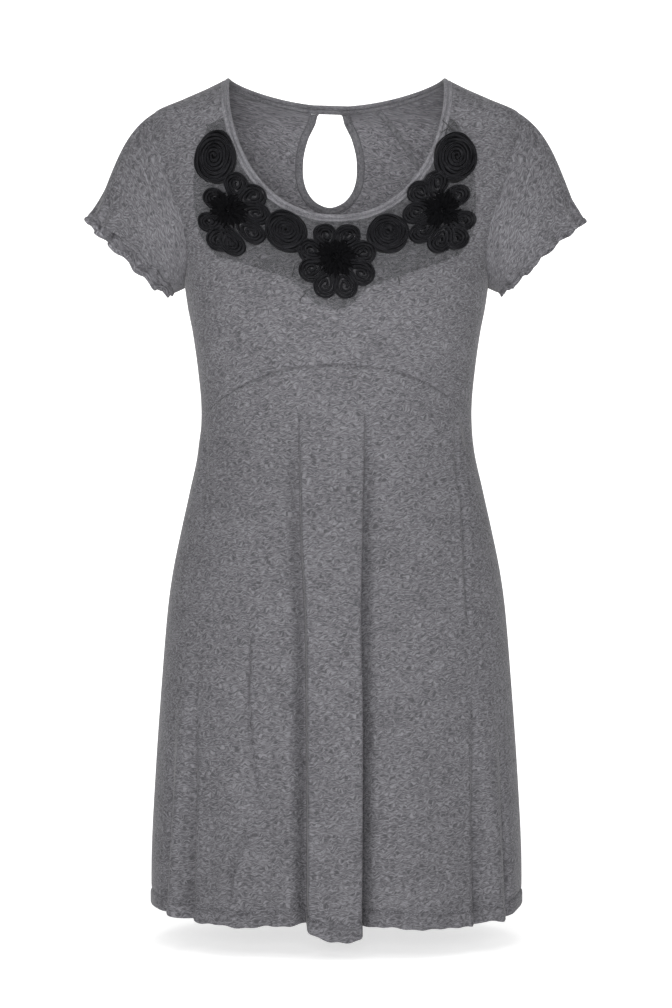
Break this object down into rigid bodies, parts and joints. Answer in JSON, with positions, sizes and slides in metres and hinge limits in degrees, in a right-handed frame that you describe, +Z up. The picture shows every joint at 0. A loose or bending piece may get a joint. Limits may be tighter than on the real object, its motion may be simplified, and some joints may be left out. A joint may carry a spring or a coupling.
{
  "type": "t-shirt dress",
  "caption": "Short-sleeved scoop-neck jersey dress with empire seam, box-pleated A-line skirt, keyhole back, tulle yoke and black ribbon flowers; hollow, as worn.",
  "frame": {"origin": "on the centre line, midway between the high points of the two shoulders, where the wearer's shoulders hold the dress up", "axes": "+Z up along the body, the front faces -Y, +X to the right of someone looking at the front"},
  "size_m": [0.5166, 0.2973, 0.8695],
  "materials": {
    "jersey": "heathered mid-grey single jersey, matt with a soft sheen at grazing angles",
    "binding": "the same heathered jersey, cut as a folded strip with one line of stitching",
    "tulle": "sheer black tulle over the jersey",
    "ribbon": "black matt woven ribbon, wound in coils",
    "thread_tuft": "black frayed ribbon ends in a shaggy tuft"
  },
  "bodies": {
    "root": {"front_bodice": "jersey", "front_skirt": "jersey", "back": "jersey", "sleeve_left": "jersey", "sleeve_right": "jersey", "neck_binding": "binding", "keyhole_binding": "binding", "tulle_yoke": "tulle", "rosette_shoulder_left": "ribbon", "rosette_inner_left": "ribbon", "rosette_inner_right": "ribbon", "rosette_shoulder_right": "ribbon", "flower_left_petal_1": "ribbon", "flower_left_petal_2": "ribbon", "flower_left_petal_3": "ribbon", "flower_left_petal_4": "ribbon", "flower_left_petal_5": "ribbon", "flower_left_petal_6": "ribbon", "flower_left_petal_7": "ribbon", "flower_left_petal_8": "ribbon", "flower_left_centre": "thread_tuft", "flower_centre_petal_1": "ribbon", "flower_centre_petal_2": "ribbon", "flower_centre_petal_3": "ribbon", "flower_centre_petal_4": "ribbon", "flower_centre_petal_5": "ribbon", "flower_centre_petal_6": "ribbon", "flower_centre_petal_7": "ribbon", "flower_centre_petal_8": "ribbon", "flower_centre_centre": "thread_tuft", "flower_right_petal_1": "ribbon", "flower_right_petal_2": "ribbon", "flower_right_petal_3": "ribbon", "flower_right_petal_4": "ribbon", "flower_right_petal_5": "ribbon", "flower_right_petal_6": "ribbon", "flower_right_petal_7": "ribbon", "flower_right_petal_8": "ribbon", "flower_right_centre": "thread_tuft"}
  },
  "joints": []
}
